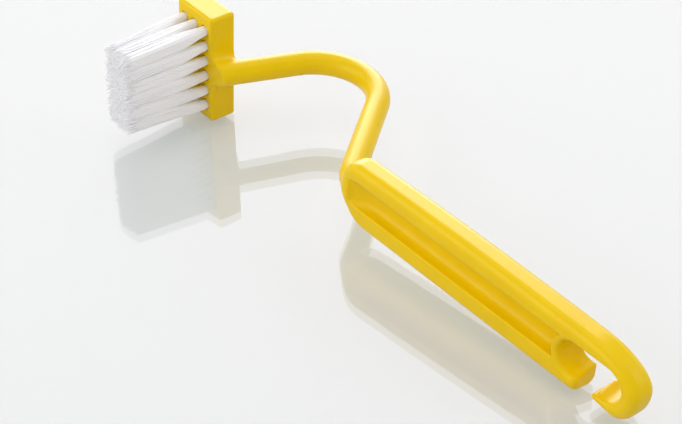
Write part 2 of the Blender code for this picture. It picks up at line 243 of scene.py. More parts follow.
def arc(centre, radius_x, radius_z, start, end):
    steps = max(2, math.ceil(abs(end - start) / ARC_STEP))
    angles = [start + (end - start) * k / steps for k in range(steps + 1)]
    return [(centre[0] + radius_x * math.cos(a), centre[1] + radius_z * math.sin(a))
            for a in angles]


def rounded_corner(before, corner, after, radius):
    c = Vector(corner)
    u = (Vector(before) - c).normalized()
    v = (Vector(after) - c).normalized()
    half = u.angle(v) / 2
    middle = c + (u + v).normalized() * radius / math.sin(half)
    first = c + u * radius / math.tan(half) - middle
    last = c + v * radius / math.tan(half) - middle
    start = math.atan2(first.y, first.x)
    turn = math.atan2(first.x * last.y - first.y * last.x, first.dot(last))
    return arc(middle, radius, radius, start, start + turn)


def outline_distance(x, z, outline):
    """Distance to a closed outline in x and z."""
    nearest = np.full(np.broadcast(x, z).shape, 1e9, dtype=np.float64)
    inside = np.zeros(nearest.shape, dtype=bool)
    for (ax, az), (bx, bz) in zip(outline, outline[1:] + outline[:1]):
        ex, ez = bx - ax, bz - az
        share = np.clip(((x - ax) * ex + (z - az) * ez) / (ex * ex + ez * ez), 0, 1)
        nearest = np.minimum(nearest, (x - ax - share * ex) ** 2 + (z - az - share * ez) ** 2)
        if ez:
            inside ^= ((az > z) != (bz > z)) & (x < ax + (z - az) * ex / ez)
    return np.where(inside, -1.0, 1.0) * np.sqrt(nearest)


def line_distance(x, y, start, end):
    dx, dy = end.x - start.x, end.y - start.y
    share = np.clip(((x - start.x) * dx + (y - start.y) * dy) / (dx * dx + dy * dy), 0, 1)
    return np.hypot(x - start.x - share * dx, y - start.y - share * dy)


def arc_distance(x, y, centre, radius, start, end):
    middle = (start + end) / 2
    half = abs(end - start) / 2
    dx, dy = x - centre.x, y - centre.y
    turn = (np.arctan2(dy, dx) - middle + math.pi) % (2 * math.pi) - math.pi
    bent = middle + np.clip(turn, -half, half)
    return np.hypot(dx - radius * np.cos(bent), dy - radius * np.sin(bent))


def smooth_union(a, b, size):
    """Nearer of two distances, with the corner between the shapes filled in."""
    share = np.clip(0.5 + 0.5 * (b - a) / size, 0, 1)
    return b + (a - b) * share - size * share * (1 - share)


def smooth_cut(shape, hole, size):
    """Shape without the hole, with the rim rounded off."""
    return -smooth_union(-shape, hole, size)


def smooth_common(a, b, size):
    """What two shapes share, with the edge between them rounded off."""
    return -smooth_union(-a, -b, size)


class Neck:
    """Centre line of the round neck: stem, bend, return leg, elbow and a stub inside the handle."""

    def __init__(self):
        heading = math.pi / 2 - STEM_LEAN
        stem = Vector((math.cos(heading), math.sin(heading)))
        start = Vector((STEM_START, 0.0))
        self.foot = start - stem * (HEAD_SIZE[1] / 2 + NECK_RADIUS * 2)
        self.stem_end = start + stem * STEM_LENGTH
        self.bend = self.stem_end + Vector((stem.y, -stem.x)) * BEND_RADIUS
        self.bend_angles = (heading + math.pi / 2, math.pi / 2 - RETURN_ANGLE)
        leg = Vector((math.cos(RETURN_ANGLE), -math.sin(RETURN_ANGLE)))
        side = Vector((leg.y, -leg.x))
        self.leg_start = self.bend - side * BEND_RADIUS
        self.corner = self.leg_start + leg * RETURN_LENGTH
        self.leg_end = self.corner - leg * ELBOW_RADIUS * math.tan(RETURN_ANGLE / 2)
        self.elbow = self.leg_end - side * ELBOW_RADIUS
        self.elbow_angles = (-math.pi / 2 - RETURN_ANGLE, -math.pi / 2)
        self.tenon = self.elbow + Vector((0.0, -ELBOW_RADIUS))

    def distance(self, x, y, z):
        line = line_distance(x, y, self.foot, self.stem_end)
        line = np.minimum(line, arc_distance(x, y, self.bend, BEND_RADIUS, *self.bend_angles))
        line = np.minimum(line, line_distance(x, y, self.leg_start, self.leg_end))
        line = np.minimum(line, arc_distance(x, y, self.elbow, ELBOW_RADIUS, *self.elbow_angles))
        tenon_end = self.tenon + Vector((NECK_TENON, 0.0))
        line = np.minimum(line, line_distance(x, y, self.tenon, tenon_end))
        return np.hypot(line, z - NECK_RAISE) - NECK_RADIUS


class Handle:
    """Outlines of the handle bar with its channel, hook eye and mouth."""

    def __init__(self, corner):
        self.middle_y = corner.y
        self.start = corner.x - HEEL_SETBACK
        nose = self.start + HANDLE_LENGTH
        self.slot_right = nose - HOOK_BAR - HOOK_SLOT_RADIUS
        self.slot_left = self.slot_right - HOOK_SLOT_STRAIGHT
        self.stub_end = self.slot_left + STUB_LENGTH
        self.outline = self.outer_outline(nose)
        self.channel_wall = self.start + HEEL_SETBACK + CHANNEL_END_WALL
        self.heel_slope = HEEL_SLANT / (HANDLE_ABOVE + HANDLE_BELOW)
        self.channel = self.channel_outline()
        self.mouth = self.mouth_outline()

    def outer_outline(self, nose):
        lower_heel = (self.start + HEEL_SLANT, -HANDLE_BELOW)
        upper_heel = (self.start, HANDLE_ABOVE)
        shoulder = nose - HOOK_TOP_LENGTH
        middle = (HANDLE_ABOVE - HOOK_BELOW) / 2
        half_height = (HANDLE_ABOVE + HOOK_BELOW) / 2
        stub = (self.stub_end, -HANDLE_BELOW)
        outline = rounded_corner(upper_heel, lower_heel, stub, HEEL_BOTTOM_RADIUS)
        outline += [stub, (self.stub_end + HOOK_MOUTH, -HOOK_TIP_BELOW)]
        nose_centre = (nose - HOOK_NOSE_LENGTH, middle)
        outline += arc(nose_centre, HOOK_NOSE_LENGTH, half_height, -math.pi / 2, 0.0)
        outline += arc((shoulder, middle), HOOK_TOP_LENGTH, half_height, 0.0, math.pi / 2)[1:]
        heel = rounded_corner((shoulder, HANDLE_ABOVE), upper_heel, lower_heel, HEEL_TOP_RADIUS)
        span = shoulder - heel[0][0]
        for k in range(1, CROWN_STEPS):
            share = 1 - k / CROWN_STEPS
            rise = HANDLE_CROWN * math.sin(math.pi * share)
            outline.append((heel[0][0] + span * share, HANDLE_ABOVE + rise))
        return outline + heel

    def channel_outline(self):
        slope, wall = self.heel_slope, self.channel_wall
        reach = HOOK_SLOT_RADIUS + PARTITION
        low = math.asin((-CHANNEL_BOTTOM - HOOK_SLOT_RAISE) / reach)
        high = math.asin((CHANNEL_TOP - HOOK_SLOT_RAISE) / reach)
        slot_end = (self.slot_left, HOOK_SLOT_RAISE)
        far_end = arc(slot_end, reach, reach, math.pi - low, math.pi - high)
        near_low = (wall + slope * (HANDLE_ABOVE + CHANNEL_BOTTOM), -CHANNEL_BOTTOM)
        near_high = (wall + slope * (HANDLE_ABOVE - CHANNEL_TOP), CHANNEL_TOP)
        outline = rounded_corner(near_high, near_low, far_end[0], CHANNEL_CORNER_RADIUS)
        outline += far_end
        return outline + rounded_corner(far_end[-1], near_high, near_low, CHANNEL_CORNER_RADIUS)

    def mouth_outline(self):
        tip = self.stub_end + HOOK_MOUTH + HOOK_TIP_RADIUS
        below = -HANDLE_BELOW - HOOK_SLOT_RADIUS
        tip_top = HOOK_SLOT_RAISE - HOOK_SLOT_RADIUS
        outline = [(self.stub_end, below), (tip, below)]
        low = (tip, -HOOK_TIP_BELOW + HOOK_TIP_RADIUS)
        high = (tip, tip_top - HOOK_TIP_RADIUS)
        outline += arc(low, HOOK_TIP_RADIUS, HOOK_TIP_RADIUS, -math.pi / 2, -math.pi)
        outline += arc(high, HOOK_TIP_RADIUS, HOOK_TIP_RADIUS, math.pi, math.pi / 2)
        return outline + [(tip, HOOK_SLOT_RAISE), (self.stub_end, HOOK_SLOT_RAISE)]

    def bar_distance(self, x, y, z):
        """Bar over the outline with its front and back rims rounded."""
        side = outline_distance(x, z, self.outline) + HANDLE_EDGE_RADIUS
        face = np.abs(y - self.middle_y) - HANDLE_DEPTH / 2 + HANDLE_EDGE_RADIUS
        rim = np.hypot(np.maximum(side, 0), np.maximum(face, 0))
        return rim + np.minimum(np.maximum(side, face), 0) - HANDLE_EDGE_RADIUS

    def cut(self, body, x, y, z):
        """Takes the mouth, the eye and the channel out of the body."""
        left = Vector((self.slot_left, HOOK_SLOT_RAISE))
        right = Vector((self.slot_right, HOOK_SLOT_RAISE))
        share = np.clip((y - self.middle_y) / HANDLE_DEPTH + 0.5, 0, 1)
        eye = line_distance(x, z, left, right) - HOOK_SLOT_RADIUS + EYE_TAPER * share
        across = np.clip((x - self.stub_end) / HOOK_MOUTH, 0, 1)
        stub_rim = STUB_RIM_FRONT + (STUB_RIM_BACK - STUB_RIM_FRONT) * share
        mouth_rim = stub_rim + (TIP_RIM - stub_rim) * across
        body = smooth_cut(body, outline_distance(x, z, self.mouth), mouth_rim)
        body = smooth_cut(body, eye, EYE_RIM_FRONT + (EYE_RIM_BACK - EYE_RIM_FRONT) * share)
        front = self.middle_y - HANDLE_DEPTH / 2
        floor = y - front - CHANNEL_DEPTH
        run_in = x - self.channel_wall - self.heel_slope * (HANDLE_ABOVE - z)
        ramp = (y - front - run_in * CHANNEL_RAMP) / math.hypot(1, CHANNEL_RAMP)
        floor = smooth_common(floor, ramp, RAMP_FILLET)
        channel = smooth_common(outline_distance(x, z, self.channel), floor, CHANNEL_FILLET)
        return smooth_cut(body, channel, LIP_RIM)


def box_distance(x, y, z, size, radius):
    q = [np.abs(value) - half / 2 + radius for value, half in zip((x, y, z), size)]
    outer = np.sqrt(sum(np.maximum(value, 0) ** 2 for value in q))
    return outer + np.minimum(np.maximum(np.maximum(q[0], q[1]), q[2]), 0) - radius


def body_distance(x, y, z):
    """Distance to the whole moulding. The stem and its fillet end level with the head's front."""
    front = HEAD_FRONT - y
    stem_side = x < BEND_CENTRE_X
    neck = NECK.distance(x, y, z)
    neck = np.where(stem_side, smooth_common(neck, front, NECK_RIM), neck)
    head = box_distance(x, y, z, HEAD_SIZE, HEAD_EDGE_RADIUS)
    body = smooth_union(head, neck, STEM_FILLET)
    body = np.where(stem_side, np.maximum(body, front), body)
    body = smooth_union(body, HANDLE.bar_distance(x, y, z), ELBOW_FILLET)
    body = HANDLE.cut(body, x, y, z)
    side_columns, upper_rows = TUFT_COLUMNS // 2, TUFT_ROWS // 2
    column = np.clip(np.round(x / COLUMN_PITCH), -side_columns, side_columns) * COLUMN_PITCH
    row = (np.clip(np.round(z / ROW_PITCH - 0.5), -upper_rows, upper_rows - 1) + 0.5) * ROW_PITCH
    hole = np.hypot(x - column, z - row) - HOLE_RADIUS
    hole = np.maximum(hole, y - HEAD_FRONT - HOLE_DEPTH)
    body = smooth_cut(body, hole, HOLE_RIM)
    pocket = [size + 2 * ANCHOR_CLEARANCE for size in ANCHOR_SIZE]
    depth = y - HEAD_FRONT - ANCHOR_DEPTH
    anchor = box_distance(x - column, depth, z - row, pocket, POCKET_EDGE_RADIUS)
    return np.maximum(body, -anchor)


def surface_mesh(name, distance, low, high, place):
    """Closed quad mesh on the zero level of a distance, one vertex in each cell that it crosses."""
    axes = [np.arange(a, b + CELL, CELL) for a, b in zip(low, high)]
    grid = np.empty([len(a) for a in axes], dtype=np.float32)
    for k in range(0, len(axes[0]), SLAB):
        slab = axes[0][k:k + SLAB, None, None]
        grid[k:k + SLAB] = distance(slab, axes[1][None, :, None], axes[2][None, None, :])
    inside = grid < 0
    corners = [(i, j, k) for i in (0, 1) for j in (0, 1) for k in (0, 1)]

    def shifted(values, corner):
        return values[tuple(slice(c, size - 1 + c) for c, size in zip(corner, values.shape))]

    count = sum(shifted(inside, c).astype(np.int8) for c in corners)
    crossed = (count > 0) & (count < 8)
    cells = np.argwhere(crossed)
    number = np.full(crossed.shape, -1, dtype=np.int64)
    number[crossed] = np.arange(len(cells))
    total = np.zeros((len(cells), 3))
    crossings = np.zeros(len(cells))
    for a in corners:
        for axis in range(3):
            if a[axis]:
                continue
            b = tuple(1 if k == axis else a[k] for k in range(3))
            at_a = grid[tuple((cells + a).T)]
            at_b = grid[tuple((cells + b).T)]
            here = (at_a < 0) != (at_b < 0)
            share = np.where(here, at_a / np.where(here, at_a - at_b, 1.0), 0.0)
            point = np.array(a) + share[:, None] * (np.array(b) - np.array(a))
            total += np.where(here[:, None], point, 0.0)
            crossings += here
    points = np.array(low) + (cells + total / crossings[:, None]) * CELL
    points = settle(points, distance)

    quads = []
    for axis in range(3):
        a, b = (axis + 1) % 3, (axis + 2) % 3
        first = np.moveaxis(inside, axis, 0)[:-1]
        second = np.moveaxis(inside, axis, 0)[1:]
        edges = np.argwhere(np.moveaxis(first != second, 0, axis))
        out = inside[tuple(edges.T)]

        def cell(step_a, step_b):
            at = edges.copy()
            at[:, a] -= step_a
            at[:, b] -= step_b
            return number[tuple(at.T)]

        ring = np.stack([cell(1, 1), cell(0, 1), cell(0, 0), cell(1, 0)], axis=1)
        quads.append(np.where(out[:, None], ring, ring[:, ::-1]))
    mesh = bpy.data.meshes.new(name)
    mesh.from_pydata(points, [], np.concatenate(quads))
    mesh.transform(place)
    mesh.shade_smooth()
    return mesh


def settle(points, distance):
    """Moves points along the slope of the distance until they lie on its zero level."""
    for _ in range(SETTLE_ROUNDS):
        here = distance(*points.T)
        slope = np.empty_like(points)
        for k in range(3):
            moved = points.copy()
            moved[:, k] += SLOPE_STEP
            slope[:, k] = (distance(*moved.T) - here) / SLOPE_STEP
        size = np.maximum((slope ** 2).sum(axis=1), LEAST_SLOPE)
        move = (here / size)[:, None] * slope
        points = points - np.clip(move, -CELL, CELL)
    return points


# Materials

def node(tree, kind, place, **values):
    made = tree.nodes.new(kind)
    made.location = place
    for name, value in values.items():
        setattr(made, name, value)
    return made


def speckle(tree, place, scale, detail, stretch=(1, 1, 1)):
    """Noise in object space, stretched along an axis where that axis has less than 1."""
    at = node(tree, "ShaderNodeTexCoord", (place[0] - 400, place[1]))
    mapping = node(tree, "ShaderNodeMapping", (place[0] - 200, place[1]))
    mapping.inputs["Scale"].default_value = stretch
    noise = node(tree, "ShaderNodeTexNoise", place)
    noise.inputs["Scale"].default_value = scale
    noise.inputs["Detail"].default_value = detail
    tree.links.new(at.outputs["Object"], mapping.inputs["Vector"])
    tree.links.new(mapping.outputs["Vector"], noise.inputs["Vector"])
    return noise.outputs["Fac"]


def tint(tree, factor, place, colours):
    ramp = node(tree, "ShaderNodeValToRGB", place)
    for stop, position, colour in zip(ramp.color_ramp.elements, TINT_RANGE, colours):
        stop.position = position
        stop.color = (*colour, 1.0)
    tree.links.new(factor, ramp.inputs["Fac"])
    return ramp.outputs["Color"]


def spread(tree, factor, place, limits):
    reach = node(tree, "ShaderNodeMapRange", place)
    reach.inputs["To Min"].default_value, reach.inputs["To Max"].default_value = limits
    tree.links.new(factor, reach.inputs["Value"])
    return reach.outputs["Result"]


def bump(tree, height, place, strength, distance, under=None):
    made = node(tree, "ShaderNodeBump", place)
    made.inputs["Strength"].default_value = strength
    made.inputs["Distance"].default_value = distance
    tree.links.new(height, made.inputs["Height"])
    if under is not None:
        tree.links.new(under, made.inputs["Normal"])
    return made.outputs["Normal"]


def new_material(name):
    made = bpy.data.materials.new(name)
    made.use_nodes = True
    return made, made.node_tree, made.node_tree.nodes["Principled BSDF"]


def yellow_plastic():
    """Glossy moulded plastic with faint flow marks and a fine skin."""
    made, tree, shader = new_material("yellow_plastic_gloss")
    cloud = speckle(tree, (-700, 300), scale=70.0, detail=3.0)
    tree.links.new(tint(tree, cloud, (-450, 300), YELLOW), shader.inputs["Base Color"])
    grime = speckle(tree, (-700, 0), scale=160.0, detail=4.0)
    tree.links.new(spread(tree, grime, (-450, 0), YELLOW_ROUGHNESS), shader.inputs["Roughness"])
    flow = speckle(tree, (-700, -300), scale=90.0, detail=1.0, stretch=(0.35, 1, 1))
    waves = bump(tree, flow, (-450, -300), strength=0.06, distance=0.0006)
    grain = speckle(tree, (-700, -600), scale=1800.0, detail=2.0)
    skin = bump(tree, grain, (-250, -400), strength=0.05, distance=0.00008, under=waves)
    tree.links.new(skin, shader.inputs["Normal"])
    shader.inputs["IOR"].default_value = YELLOW_IOR
    shader.inputs["Specular IOR Level"].default_value = YELLOW_SPECULAR
    return made


def white_nylon(place):
    """White filaments with faint streaks along their length. The material is opaque, so a yellow
    tint on the inner roots stands in for the light that nylon lets through."""
    made, tree, shader = new_material("white_nylon_filament")
    streaks = speckle(tree, (-700, 300), scale=900.0, detail=2.0, stretch=(1, 0.03, 1))
    colour = tint(tree, streaks, (-450, 300), NYLON)
    at = node(tree, "ShaderNodeTexCoord", (-1700, 700))
    mapping = node(tree, "ShaderNodeMapping", (-1500, 700))
    move, turn, size = place.inverted().decompose()
    mapping.inputs["Location"].default_value = move
    mapping.inputs["Rotation"].default_value = turn.to_euler()
    mapping.inputs["Scale"].default_value = size
    split = node(tree, "ShaderNodeSeparateXYZ", (-1300, 700))
    tree.links.new(at.outputs["Object"], mapping.inputs["Vector"])
    tree.links.new(mapping.outputs["Vector"], split.inputs["Vector"])
    share = None
    for k, (axis, start, end) in enumerate(ROOT_PAINTED_LIGHT_FADES):
        ramp = node(tree, "ShaderNodeMapRange", (-1100, 900 - 250 * k))
        ramp.inputs["From Min"].default_value = start
        ramp.inputs["From Max"].default_value = end
        value = split.outputs[axis]
        if axis != "Y":
            inward = node(tree, "ShaderNodeMath", (-1200, 900 - 250 * k), operation="ABSOLUTE")
            tree.links.new(value, inward.inputs[0])
            value = inward.outputs["Value"]
        tree.links.new(value, ramp.inputs["Value"])
        if share is None:
            share = ramp.outputs["Result"]
            continue
        both = node(tree, "ShaderNodeMath", (-900 + 180 * k, 900), operation="MULTIPLY")
        tree.links.new(share, both.inputs[0])
        tree.links.new(ramp.outputs["Result"], both.inputs[1])
        share = both.outputs["Value"]
    # Painted light: yellow mixed into the inner roots stands in for light bounced through the nylon
    mix = node(tree, "ShaderNodeMix", (-200, 500), data_type="RGBA")
    tree.links.new(share, mix.inputs["Factor"])
    tree.links.new(colour, mix.inputs["A"])
    mix.inputs["B"].default_value = ROOT_PAINTED_LIGHT
    tree.links.new(mix.outputs["Result"], shader.inputs["Base Color"])
    tree.links.new(spread(tree, streaks, (-450, 0), NYLON_ROUGHNESS), shader.inputs["Roughness"])
    strands = speckle(tree, (-700, -300), scale=2500.0, detail=1.0, stretch=(1, 0.1, 1))
    ripple = bump(tree, strands, (-450, -300), strength=0.1, distance=0.00005)
    tree.links.new(ripple, shader.inputs["Normal"])
    shader.inputs["IOR"].default_value = NYLON_IOR
    return made


def wire_steel():
    made, tree, shader = new_material("anchor_wire_steel")
    grain = speckle(tree, (-700, 300), scale=3000.0, detail=2.0, stretch=(1, 1, 0.05))
    tree.links.new(tint(tree, grain, (-450, 300), STEEL), shader.inputs["Base Color"])
    tree.links.new(spread(tree, grain, (-450, 0), STEEL_ROUGHNESS), shader.inputs["Roughness"])
    shader.inputs["Metallic"].default_value = 1.0
    return made


# Bristles

def tuft_places():
    for row in range(TUFT_ROWS):
        for column in range(TUFT_COLUMNS):
            x = (column - (TUFT_COLUMNS - 1) / 2) * COLUMN_PITCH
            z = ((TUFT_ROWS - 1) / 2 - row) * ROW_PITCH
            yield f"r{row + 1}_c{column + 1}", x, z


def spread_out(x, z, radius, angle, share):
    """Places points of a tuft at a share of its length. It leaves its hole as a round bundle, and
    further on it fills its own cell of the field, whose outside runs straight to the tips."""
    met = 1 - np.exp(-((share / MEETING_SHARE) ** MEETING_POWER))
    corner = 1 + SQUARENESS * met * np.sin(2 * angle) ** 2
    axes = ((x, COLUMN_PITCH, TUFT_COLUMNS, FIELD_TIP[0], np.cos(angle)),
            (z, ROW_PITCH, TUFT_ROWS, FIELD_TIP[1], np.sin(angle)))
    placed = []
    for root, pitch, count, tip, way in axes:
        field = pitch * (count - 1) / 2 + ROOT_RADIUS
        cell = (field + (tip - field) * share) / count
        middle = root + (root / pitch * 2 * cell - root) * met
        placed.append(middle + radius * (1 + (cell / ROOT_RADIUS - 1) * met) * corner * way)
    return placed


def tubes(lines, radius):
    """Round bars along lines of points, closed at both ends, as vertices and faces."""
    count, length, _ = lines.shape
    along = np.gradient(lines, axis=1)
    along /= np.linalg.norm(along, axis=2, keepdims=True)
    side = np.array([0.0, 0.0, 1.0]) - along[..., 2:] * along
    side /= np.linalg.norm(side, axis=2, keepdims=True)
    other = np.cross(along, side)
    turn = np.arange(FILAMENT_SIDES) * 2 * math.pi / FILAMENT_SIDES
    ring = np.cos(turn)[:, None] * side[:, :, None] + np.sin(turn)[:, None] * other[:, :, None]
    points = (lines[:, :, None] + ring * radius).reshape(-1, 3)
    sizes = (count, length - 1, FILAMENT_SIDES)
    strand, step, k = np.meshgrid(*[np.arange(size) for size in sizes], indexing="ij")
    here = (strand * length + step) * FILAMENT_SIDES
    above = here + FILAMENT_SIDES
    after = (k + 1) % FILAMENT_SIDES
    walls = np.stack([here + k, here + after, above + after, above + k], axis=-1)
    faces = walls.reshape(-1, 4).tolist()
    for number in range(count):
        first = number * length * FILAMENT_SIDES
        last = first + (length - 1) * FILAMENT_SIDES
        faces.append(list(range(first + FILAMENT_SIDES - 1, first - 1, -1)))
        faces.append(list(range(last, last + FILAMENT_SIDES)))
    return points, faces


def rim_lines(random_numbers, x, z):
    """Filaments on the outside of a tuft, each folded round the anchor, with two free tips."""
    shares = np.linspace(0, 1, RIM_STEPS) ** RIM_CROWDING
    lines = []
    for k in range(RIM_LOOPS):
        angle = (k + 0.5) * math.pi / RIM_LOOPS - math.pi / 2
        legs = []
        for mirrored in (1, -1):
            way = angle if mirrored > 0 else math.pi - angle
            way += random_numbers.normal(0, RIM_ANGLE_SCATTER)
            px, pz = spread_out(x, z, ROOT_RADIUS, way, shares)
            stray = random_numbers.normal(0, STRAY, 2)
            wave = random_numbers.uniform(0, 2 * math.pi)
            sway = SWAY * np.sin(wave + SWAY_WAVES * shares) * shares
            length = FILAMENT_LENGTH + random_numbers.uniform(-LENGTH_SCATTER, LENGTH_SCATTER)
            leg = np.stack([px + stray[0] * shares ** 2 + sway, HEAD_FRONT - length * shares,
                            pz + stray[1] * shares ** 2 + sway], axis=1)
            beside_anchor = ANCHOR_SIZE[0] / 2 + FOLD_OFFSET
            fold_x = x + mirrored * max(ROOT_RADIUS * math.cos(angle), beside_anchor)
            fold_z = z + ROOT_RADIUS * math.sin(angle)
            beside = [[fold_x, HEAD_FRONT + ANCHOR_DEPTH + ANCHOR_SIZE[1] / 2, fold_z],
                      [fold_x, HEAD_FRONT + ANCHOR_DEPTH - ANCHOR_SIZE[1], fold_z]]
            legs.append(np.concatenate([beside, leg]))
        right, left = legs
        bend = np.linspace(0, math.pi, FOLD_STEPS)[1:-1]
        half = right[0, 0] - x
        depth = FOLD_DEPTH + FOLD_DEPTH_GAIN * half / ROOT_RADIUS
        fold = np.stack([x + half * np.cos(bend), right[0, 1] + depth * np.sin(bend),
                         np.full(len(bend), right[0, 2])], axis=1)
        lines.append(np.concatenate([right[::-1], fold, left]))
    return np.array(lines)


def tip_lines(random_numbers, x, z):
    """Free ends of the filaments inside a tuft, which stand out of its core."""
    order = np.arange(TIP_FILAMENTS)
    radius = ROOT_RADIUS * np.sqrt((order + 0.5) / TIP_FILAMENTS) * TIP_FIELD
    angle = order * math.pi * (3 - math.sqrt(5))
    angle = angle + random_numbers.normal(0, TIP_ANGLE_SCATTER, TIP_FILAMENTS)
    lean = random_numbers.normal(0, STRAY, (2, TIP_FILAMENTS))
    scatter = random_numbers.uniform(-LENGTH_SCATTER, LENGTH_SCATTER, TIP_FILAMENTS)
    length = FILAMENT_LENGTH + scatter
    steps = []
    for share in (CORE_SHARE - TIP_OVERLAP, CORE_SHARE, 1.0):
        px, pz = spread_out(x, z, radius, angle, np.full(TIP_FILAMENTS, share))
        steps.append(np.stack([px + lean[0] * share ** 2, HEAD_FRONT - length * share,
                               pz + lean[1] * share ** 2], axis=1))
    return np.stack(steps, axis=1)


def core_mesh(x, z):
    """Packed filaments inside a tuft, as one body with a rounded end."""
    straight = np.linspace(0, 1, CORE_STEPS) ** CORE_CROWDING * (CORE_SHARE - CORE_STRAIGHT_END)
    shares = np.concatenate([straight, [CORE_SHARE - before for before, _ in CORE_END]])
    widths = np.concatenate([np.ones(CORE_STEPS), [width for _, width in CORE_END]])
    turn = np.arange(CORE_SIDES) * 2 * math.pi / CORE_SIDES
    px, pz = spread_out(x, z, ROOT_RADIUS * widths[:, None], turn[None, :], shares[:, None])
    py = np.broadcast_to(HEAD_FRONT - FILAMENT_LENGTH * shares[:, None], px.shape).copy()
    py[0] += HOLE_DEPTH / 3
    rings = len(shares)
    points = np.stack([px, py, pz], axis=-1).reshape(-1, 3)
    faces = []
    for ring in range(rings - 1):
        here = ring * CORE_SIDES
        for k in range(CORE_SIDES):
            after = (k + 1) % CORE_SIDES
            faces.append([here + k, here + CORE_SIDES + k, here + CORE_SIDES + after, here + after])
    faces.append(list(range(CORE_SIDES)))
    faces.append(list(range((rings - 1) * CORE_SIDES, rings * CORE_SIDES))[::-1])
    return points, faces


def tuft_object(name, number, x, z, place, finish):
    random_numbers = np.random.default_rng(number)
    parts = [core_mesh(x, z), tubes(rim_lines(random_numbers, x, z), FILAMENT_RADIUS),
             tubes(tip_lines(random_numbers, x, z), FILAMENT_RADIUS)]
    points, faces, offset = [], [], 0
    for part_points, part_faces in parts:
        points.append(part_points)
        faces += [[offset + v for v in face] for face in part_faces]
        offset += len(part_points)
    mesh = bpy.data.meshes.new(name)
    mesh.from_pydata(np.concatenate(points), [], faces)
    mesh.transform(place)
    mesh.shade_smooth()
    mesh.materials.append(finish)
    return add_object(name, mesh)


# Scene

def add_object(name, data):
    made = bpy.data.objects.new(name, data)
    bpy.context.scene.collection.objects.link(made)
    return made


def collect(name, pieces):
    made = bpy.data.collections.new(name)
    for piece in pieces:
        made.objects.link(piece)
    return made


def add_camera(place):
    """Places the camera and gives back the direction in which it looks."""
    turn = place.to_3x3().normalized()
    forward = (turn @ CAMERA_FORWARD).normalized()
    up = turn @ CAMERA_UP
    right = forward.cross(up).normalized()
    up = right.cross(forward)
    data = bpy.data.cameras.new("camera")
    data.sensor_width = SENSOR_WIDTH
    data.lens = FOCAL_PIXELS * SENSOR_WIDTH / PICTURE_WIDTH
    data.clip_start, data.clip_end = CAMERA_CLIP
    camera = add_object("camera", data)
    axes = Matrix((right, up, -forward)).transposed().to_4x4()
    camera.matrix_world = Matrix.Translation(place @ CAMERA_PLACE) @ axes
    bpy.context.scene.camera = camera
    return forward


def floor_plane(name, height, finish):
    half = FLOOR_SIZE / 2 * MM
    mesh = bpy.data.meshes.new(name)
    corners = [(x * half, y * half, height) for x, y in ((-1, -1), (1, -1), (1, 1), (-1, 1))]
    mesh.from_pydata(corners, [], [(0, 1, 2, 3)])
    mesh.materials.append(finish)
    made = add_object(name, mesh)
    return made


def empty_material(name):
    made = bpy.data.materials.new(name)
    made.use_nodes = True
    tree = made.node_tree
    tree.nodes.clear()
    return made, tree, node(tree, "ShaderNodeOutputMaterial", (400, 0))


def sheen(name, mirror):
    """A weak mirror on clear glass."""
    made, tree, out = empty_material(name)
    mix = node(tree, "ShaderNodeMixShader", (200, 0))
    mix.inputs["Fac"].default_value = mirror
    gloss = node(tree, "ShaderNodeBsdfGlossy", (0, -150))
    gloss.inputs["Color"].default_value = MIRROR_TINT
    gloss.inputs["Roughness"].default_value = MIRROR_ROUGHNESS
    clear = node(tree, "ShaderNodeBsdfTransparent", (0, 100))
    tree.links.new(clear.outputs["BSDF"], mix.inputs[1])
    tree.links.new(gloss.outputs["BSDF"], mix.inputs[2])
    tree.links.new(mix.outputs["Shader"], out.inputs["Surface"])
    return made


def pale(name):
    """Pale base. The camera and the mirrors see a weak shadow on an even tone, and all other rays
    see plain white."""
    made, tree, out = empty_material(name)
    path = node(tree, "ShaderNodeLightPath", (-900, 300))
    seen = path.outputs["Is Camera Ray"]
    for k, ray in enumerate(("Is Glossy Ray", "Is Transmission Ray")):
        either = node(tree, "ShaderNodeMath", (-700 + 150 * k, 300), operation="MAXIMUM")
        tree.links.new(seen, either.inputs[0])
        tree.links.new(path.outputs[ray], either.inputs[1])
        seen = either.outputs["Value"]
    white = node(tree, "ShaderNodeBsdfDiffuse", (-400, 200))
    white.inputs["Color"].default_value = BASE_WHITE
    tone = node(tree, "ShaderNodeEmission", (-400, 0))
    tone.inputs["Color"].default_value = BASE_TONE_TINT
    tone.inputs["Strength"].default_value = BASE_TONE
    dim = node(tree, "ShaderNodeBsdfDiffuse", (-400, -150))
    dim.inputs["Color"].default_value = (*[BASE_SHADE * part for part in BASE_SHADE_TINT], 1.0)
    add = node(tree, "ShaderNodeAddShader", (-200, -50))
    tree.links.new(tone.outputs["Emission"], add.inputs[0])
    tree.links.new(dim.outputs["BSDF"], add.inputs[1])
    mix = node(tree, "ShaderNodeMixShader", (0, 100))
    tree.links.new(seen, mix.inputs["Fac"])
    tree.links.new(white.outputs["BSDF"], mix.inputs[1])
    tree.links.new(add.outputs["Shader"], mix.inputs[2])
    tree.links.new(mix.outputs["Shader"], out.inputs["Surface"])
    return made


def add_panel(name, middle, width, height, radiance, only=None, part=None, opaque=None):
    """An area lamp that faces the brush. It can light one collection only, give only gloss or only
    colour, and shine through everything but one collection."""
    data = bpy.data.lights.new(name, "AREA")
    data.shape = "RECTANGLE"
    data.size = width
    data.size_y = height
    data.energy = radiance * math.pi * width * height
    lamp = add_object(name, data)
    lamp.location = middle
    lamp.rotation_euler = (-middle).to_track_quat("-Z", "Y").to_euler()
    if only:
        lamp.light_linking.receiver_collection = only
    if opaque:
        lamp.light_linking.blocker_collection = opaque
    if part:
        lamp.visible_diffuse = part == "colour"
        lamp.visible_glossy = part == "gloss"


